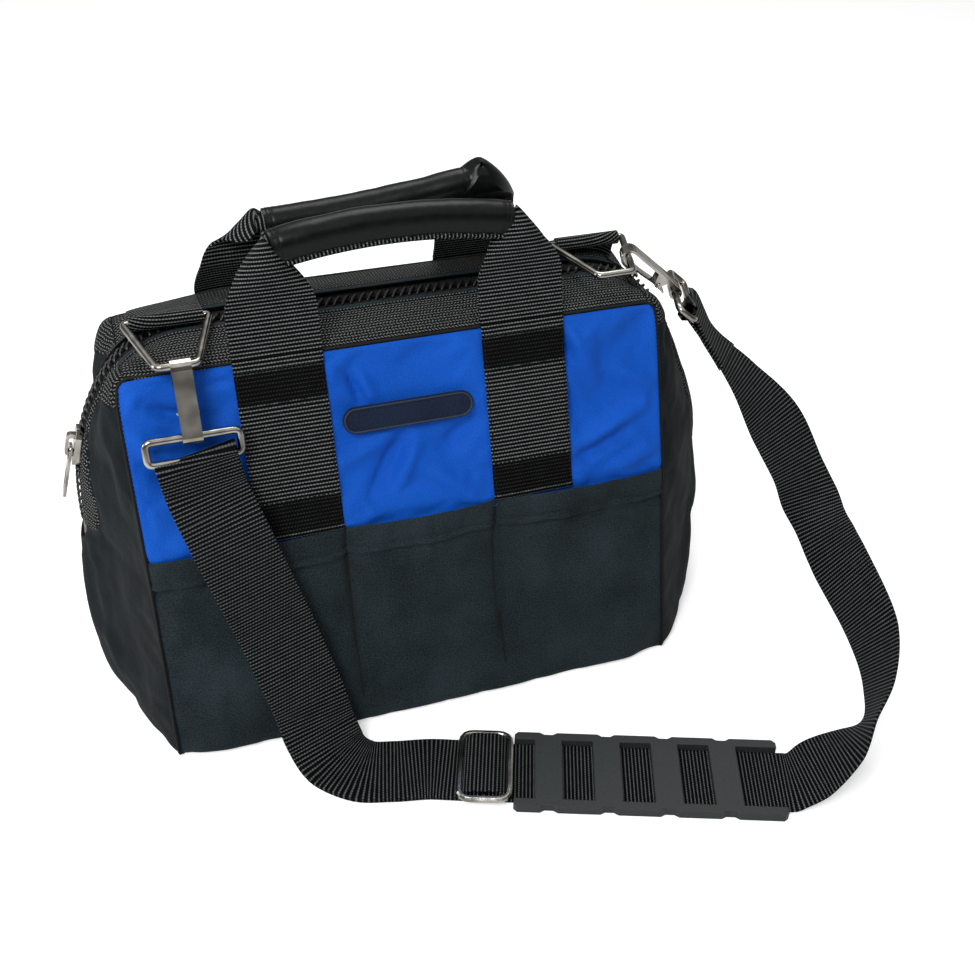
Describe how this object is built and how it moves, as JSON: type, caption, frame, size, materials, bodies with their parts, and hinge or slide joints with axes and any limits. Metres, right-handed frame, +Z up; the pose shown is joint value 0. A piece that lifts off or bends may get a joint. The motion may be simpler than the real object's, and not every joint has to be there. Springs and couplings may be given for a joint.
{
  "type": "tool bag",
  "caption": "Soft zip-top tool bag with padded walls, front pockets, carry handles with grips, ring tabs and a shoulder strap with snap hooks, slide buckle and pad.",
  "frame": {"origin": "middle of the bag's footprint on the floor, the strap and its fittings left out", "axes": "+Z up, -Y towards the pockets, +X to the right seen from the front"},
  "size_m": [0.4501, 0.3445, 0.2931],
  "materials": {
    "black_cloth": "coated woven cloth, matte",
    "blue_cloth": "coated woven cloth, slight sheen",
    "mesh_cloth": "ribbed mesh cloth, matte",
    "webbing": "ribbed webbing, slight sheen",
    "grip": "satin sleeve",
    "zip": "moulded teeth on woven tape",
    "nickel": "plated, warm satin to bright",
    "pad": "moulded, satin",
    "label": "bare moulded patch, satin",
    "board": "stiff board, matte"
  },
  "bodies": {
    "bag": {"base_panel": "black_cloth", "base_board": "board", "left_end_panel": "black_cloth", "right_end_panel": "black_cloth", "front_roof_band": "mesh_cloth", "front_upper_panel": "blue_cloth", "front_lower_panel": "black_cloth", "back_lower_panel": "black_cloth", "pocket_panel": "black_cloth", "label_patch": "label", "front_handle_strip_left": "webbing", "front_handle_strip_right": "webbing", "back_handle_strip_left_foot": "webbing", "back_handle_strip_right_foot": "webbing", "front_zip_tape": "zip", "back_zip_tape_left_foot": "zip", "back_zip_tape_right_foot": "zip", "left_zip_stop": "nickel", "right_zip_stop": "nickel", "strap_left_floor": "webbing", "strap_right_floor": "webbing"},
    "back_mouth": {"back_roof_band": "mesh_cloth", "left_end_back_wing": "black_cloth", "right_end_back_wing": "black_cloth", "back_upper_panel": "black_cloth", "back_handle_strip_left": "webbing", "back_handle_strip_right": "webbing", "back_zip_tape": "zip", "left_ring_tab": "webbing", "right_ring_tab": "webbing", "strap_left_mouth": "webbing", "strap_right_mouth": "webbing"},
    "front_handle": {"front_handle_webbing": "webbing", "front_handle_grip": "grip"},
    "back_handle": {"back_handle_webbing": "webbing", "back_handle_grip": "grip"},
    "zip_slider": {"zip_slider": "nickel"},
    "zip_pull": {"zip_pull": "nickel"},
    "left_ring": {"left_ring": "nickel", "strap_left_ring": "webbing"},
    "left_hook": {"left_hook": "nickel", "left_hook_pin": "nickel", "strap_left_hook": "webbing"},
    "left_gate": {"left_hook_gate": "nickel"},
    "left_loop": {"left_strap_loop": "nickel", "strap_left_end": "webbing"},
    "right_ring": {"right_ring": "nickel", "strap_right_ring": "webbing"},
    "right_hook": {"right_hook": "nickel", "right_hook_pin": "nickel", "strap_right_hook": "webbing"},
    "right_gate": {"right_hook_gate": "nickel"},
    "right_loop": {"right_strap_loop": "nickel", "strap_right_end": "webbing"},
    "slide_buckle": {"slide_buckle": "nickel", "strap_buckle_turn": "webbing"},
    "shoulder_pad": {"shoulder_pad": "pad"}
  },
  "joints": [
    {"name": "mouth_fold", "type": "hinge", "parent": "bag", "child": "back_mouth", "pos_m": [-0.00447, 0.0592, 0.178], "axis": [-1, 0, 0], "range_deg": [0, 45], "deforming": ["strap_left_mouth", "strap_right_mouth", "strap_left_floor", "strap_right_floor"]},
    {"name": "front_handle_swing", "type": "hinge", "parent": "bag", "child": "front_handle", "pos_m": [-0.00347, -0.04405, 0.22345], "axis": [1, 0, 0], "range_deg": [-12, 100]},
    {"name": "back_handle_swing", "type": "hinge", "parent": "back_mouth", "child": "back_handle", "pos_m": [-0.00797, 0.04405, 0.22345], "axis": [1, 0, 0], "range_deg": [-100, 12]},
    {"name": "zip_slider_travel", "type": "hinge", "parent": "bag", "child": "zip_slider", "pos_m": [-0.02303, 0, 0.11421], "axis": [0, 1, 0], "range_deg": [-12, 11]},
    {"name": "zip_pull_swing", "type": "hinge", "parent": "zip_slider", "child": "zip_pull", "pos_m": [-0.18451, 0, 0.15982], "axis": [0, 1, 0], "range_deg": [0, 110]},
    {"name": "left_ring_swing", "type": "hinge", "parent": "back_mouth", "child": "left_ring", "pos_m": [-0.12297, -0.006, 0.2325], "axis": [-1, 0, 0], "range_deg": [0, 35], "deforming": ["strap_left_ring"]},
    {"name": "left_hook_swing", "type": "hinge", "parent": "left_ring", "child": "left_hook", "pos_m": [-0.12147, -0.0514, 0.2295], "axis": [-1, 0, 0], "range_deg": [0, 25], "deforming": ["strap_left_hook"]},
    {"name": "left_gate_press", "type": "hinge", "parent": "left_hook", "child": "left_gate", "pos_m": [-0.12147, -0.05745, 0.20471], "axis": [1, 0, 0], "range_deg": [0, 20], "stiffness_Nm_per_rad": 0.02, "springref_deg": -17.19},
    {"name": "left_loop_swing", "type": "hinge", "parent": "left_hook", "child": "left_loop", "pos_m": [-0.12147, -0.06296, 0.19379], "axis": [-1, 0, 0], "range_deg": [0, 25], "deforming": ["strap_left_end"]},
    {"name": "right_ring_swing", "type": "hinge", "parent": "back_mouth", "child": "right_ring", "pos_m": [0.12553, 0.014, 0.236], "axis": [-1, 0, 0], "range_deg": [0, 35], "deforming": ["strap_right_ring"]},
    {"name": "right_hook_swing", "type": "hinge", "parent": "right_ring", "child": "right_hook", "pos_m": [0.14191, -0.00966, 0.236], "axis": [-0.309, -0.9511, 0], "range_deg": [0, 25], "deforming": ["strap_right_hook"]},
    {"name": "right_gate_press", "type": "hinge", "parent": "right_hook", "child": "right_gate", "pos_m": [0.16, -0.01554, 0.219], "axis": [0.309, 0.9511, 0], "range_deg": [0, 20], "stiffness_Nm_per_rad": 0.02, "springref_deg": -17.19},
    {"name": "right_loop_swing", "type": "hinge", "parent": "right_hook", "child": "right_loop", "pos_m": [0.17021, -0.01886, 0.21312], "axis": [-0.309, -0.9511, 0], "range_deg": [0, 25], "deforming": ["strap_right_end"]},
    {"name": "buckle_slide", "type": "slide", "parent": "bag", "child": "slide_buckle", "axis": [0.9385, -0.3453, 0], "range_m": [-0.015, 0]},
    {"name": "pad_slide", "type": "slide", "parent": "bag", "child": "shoulder_pad", "axis": [0.9385, -0.3453, 0], "range_m": [0, 0.012]}
  ]
}
